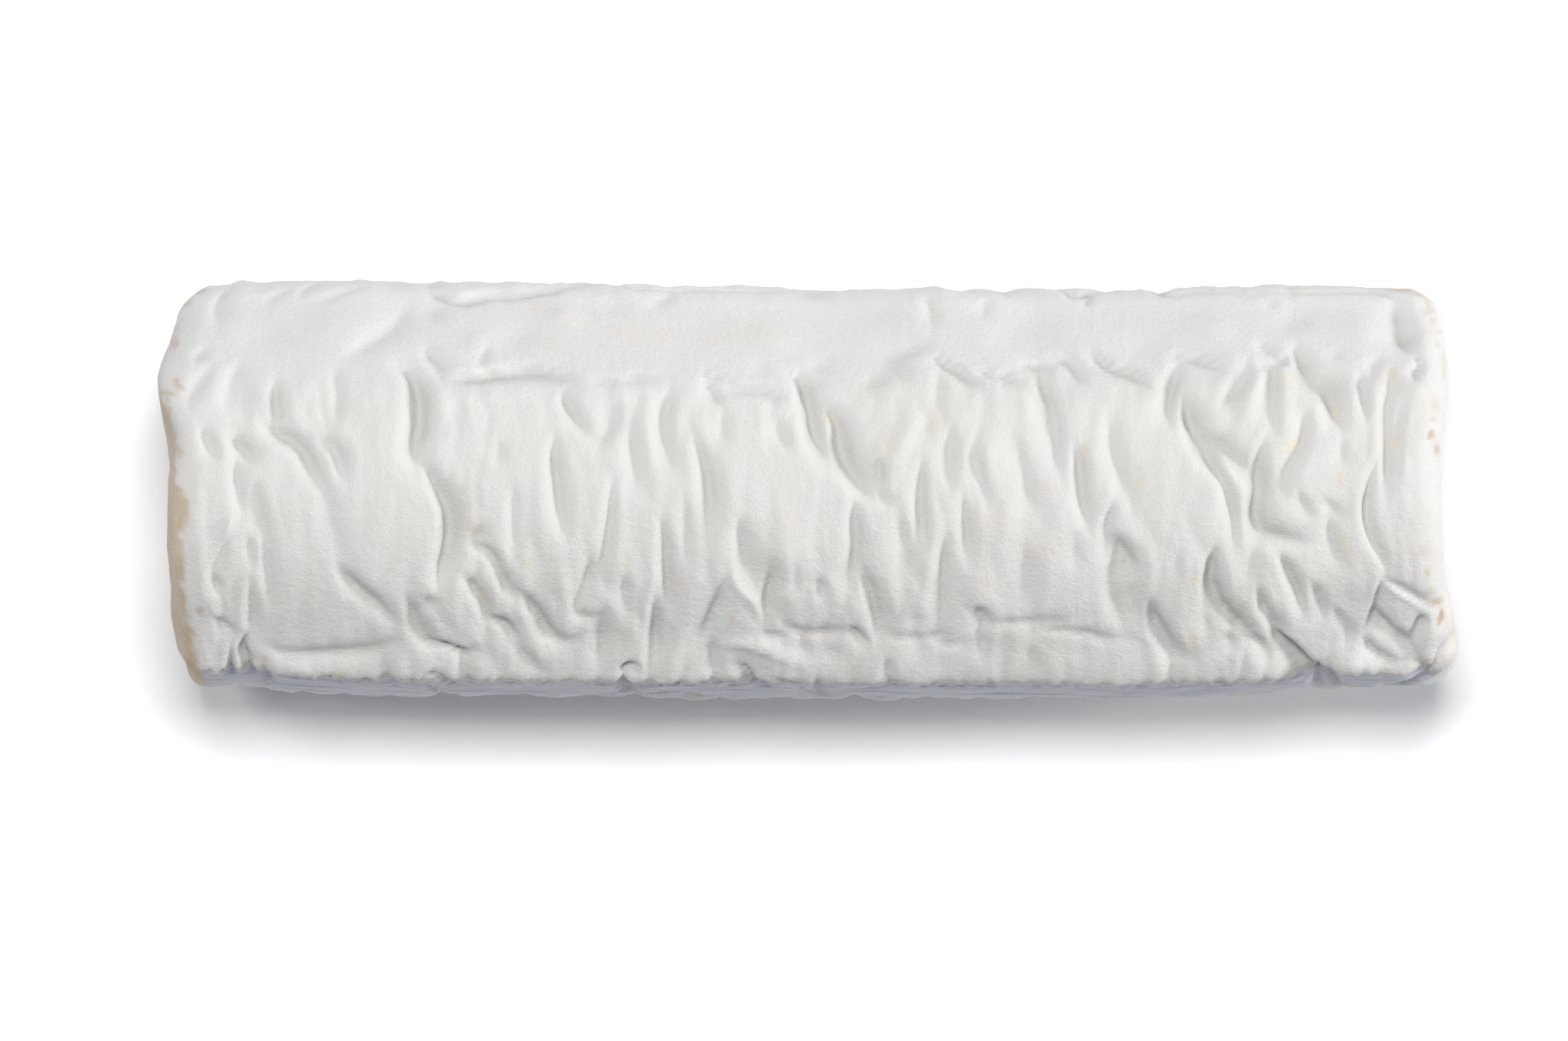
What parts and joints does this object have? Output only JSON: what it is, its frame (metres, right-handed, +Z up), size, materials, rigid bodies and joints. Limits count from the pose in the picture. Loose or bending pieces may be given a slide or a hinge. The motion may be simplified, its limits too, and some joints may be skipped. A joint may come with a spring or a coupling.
{
  "type": "cheese log",
  "caption": "Whole log of soft-ripened goat's cheese lying on its side, with a white, wrinkled, bloomy rind and bare cream patches at its ends.",
  "frame": {"origin": "on the surface that the log rests on, under the middle of its box", "axes": "+X along the log, +Z up, +Y towards the side with the pressed flat on its shoulder"},
  "size_m": [0.1352, 0.0438, 0.0427],
  "materials": {
    "rind": "matte, slightly velvety white mould bloom over cream paste"
  },
  "bodies": {
    "root": {"cheese_log": "rind"}
  },
  "joints": []
}
